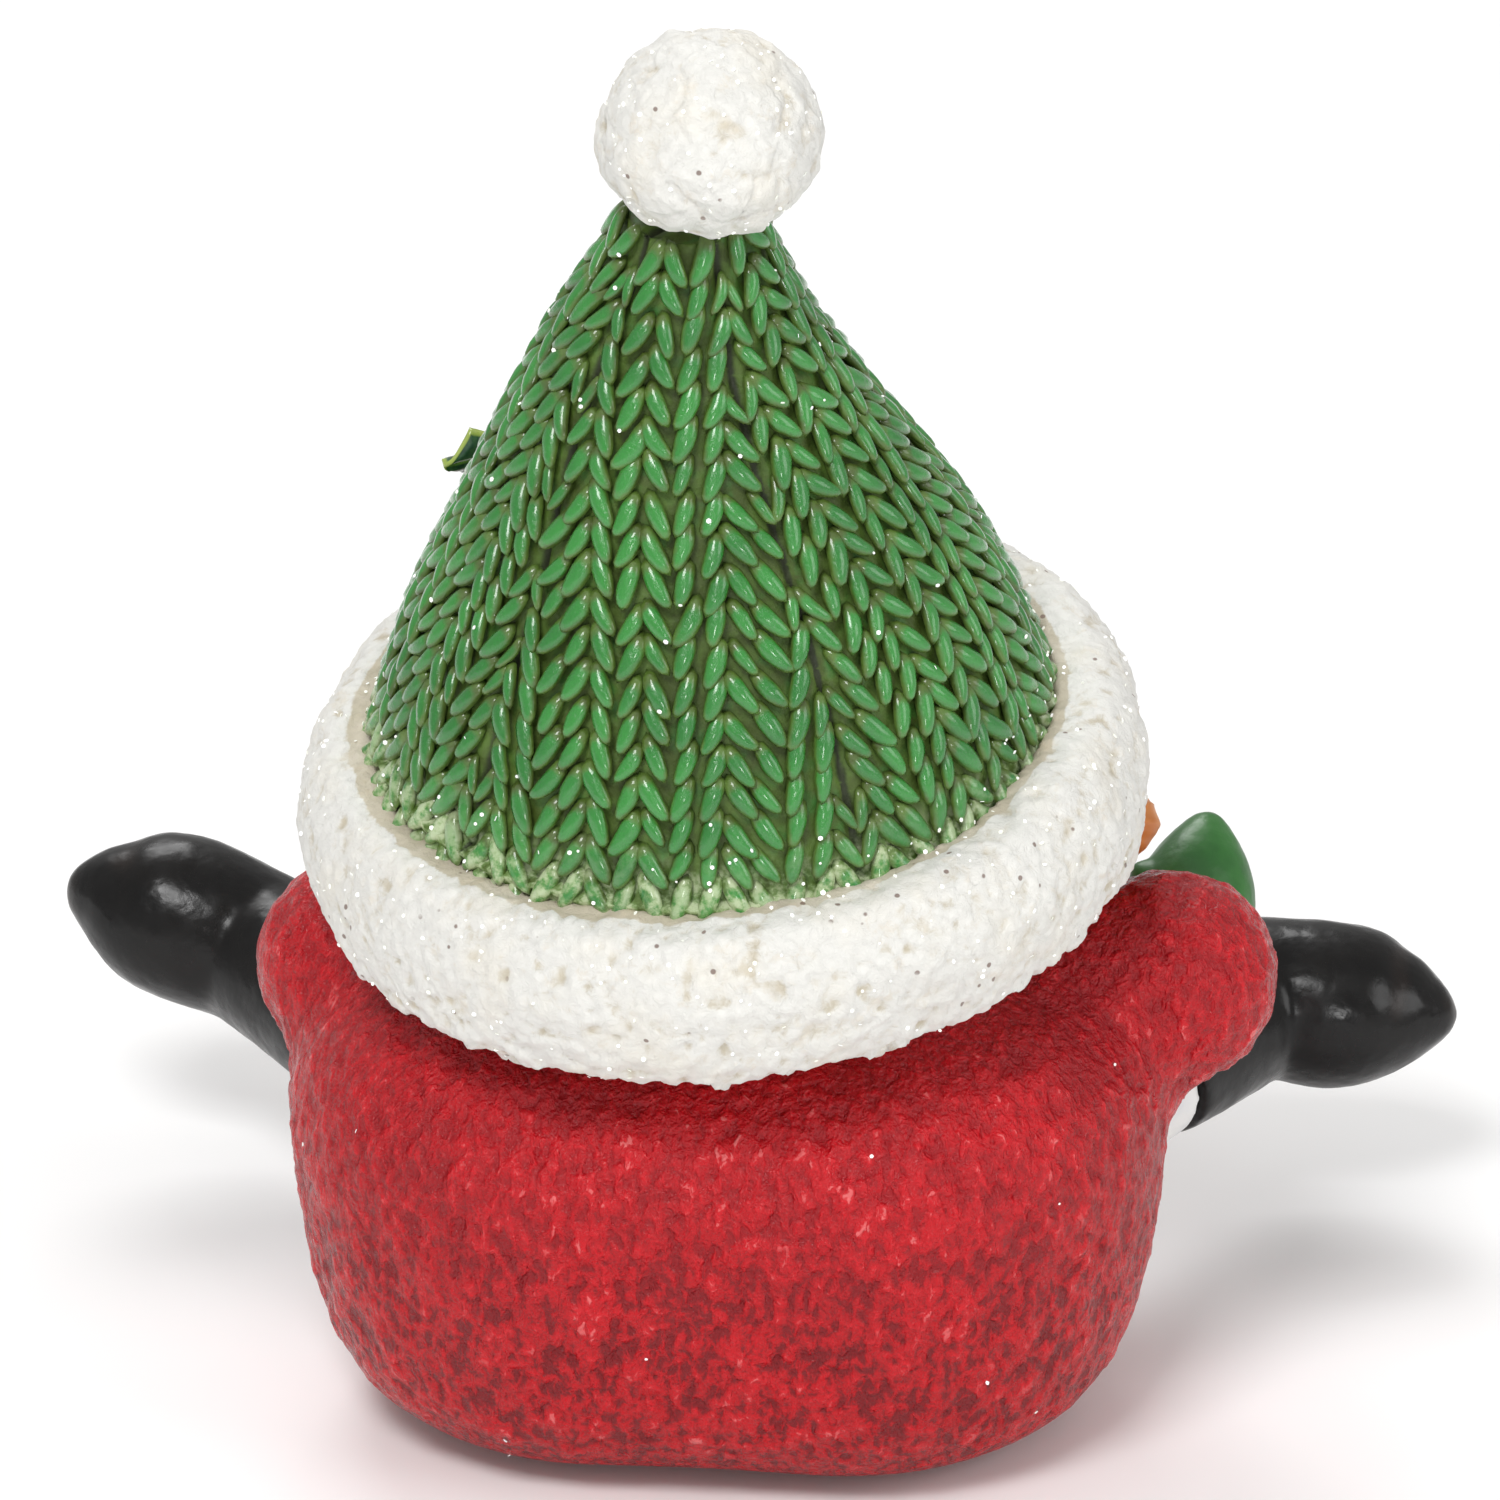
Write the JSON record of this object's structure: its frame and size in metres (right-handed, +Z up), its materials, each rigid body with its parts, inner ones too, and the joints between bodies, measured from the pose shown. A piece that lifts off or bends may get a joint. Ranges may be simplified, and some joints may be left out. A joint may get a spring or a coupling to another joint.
{
  "type": "gnome figurine",
  "caption": "Seated painted gnome figurine with a knitted hat, fur brim, pompom, beard, mittens and boots, for display on a shelf or table.",
  "frame": {"origin": "centre of the base pad's underside, on the surface the figure sits on", "axes": "+Z up; the figure faces -Y; +X is the figure's own left"},
  "size_m": [0.142, 0.1002, 0.1473],
  "materials": {
    "coat_red": "painted cast resin, satin, maroon wash",
    "felt": "green felt",
    "fur_white": "painted cast resin, matt, glittered",
    "skin": "painted cast resin, satin",
    "beard_ginger": "painted cast resin, satin, brown wash",
    "knit_green": "painted cast resin, varnished, brown wash",
    "holly_green": "painted cast resin, glossy",
    "berry_red": "painted cast resin, glossy",
    "mitten_green": "painted cast resin, satin",
    "stocking_white": "painted cast resin, matt",
    "boot_black": "painted cast resin, satin black"
  },
  "bodies": {
    "root": {"body_casting": "coat_red", "base_pad": "felt", "fur_collar": "fur_white", "head": "skin", "nose": "skin", "beard": "beard_ginger", "side_whiskers_left": "beard_ginger", "side_whiskers_right": "beard_ginger", "moustache_left": "beard_ginger", "moustache_right": "beard_ginger", "hat_cone": "knit_green", "hat_brim": "fur_white", "pompom": "fur_white", "holly_leaf_upper": "holly_green", "holly_leaf_lower": "holly_green", "holly_leaf_front": "holly_green", "holly_berry_upper": "berry_red", "holly_berry_lower": "berry_red", "holly_berry_front": "berry_red", "arm_left": "coat_red", "arm_right": "coat_red", "cuff_left": "fur_white", "cuff_right": "fur_white", "mitten_left": "mitten_green", "mitten_right": "mitten_green", "leg_left": "stocking_white", "leg_right": "stocking_white", "boot_left": "boot_black", "boot_right": "boot_black"}
  },
  "joints": []
}
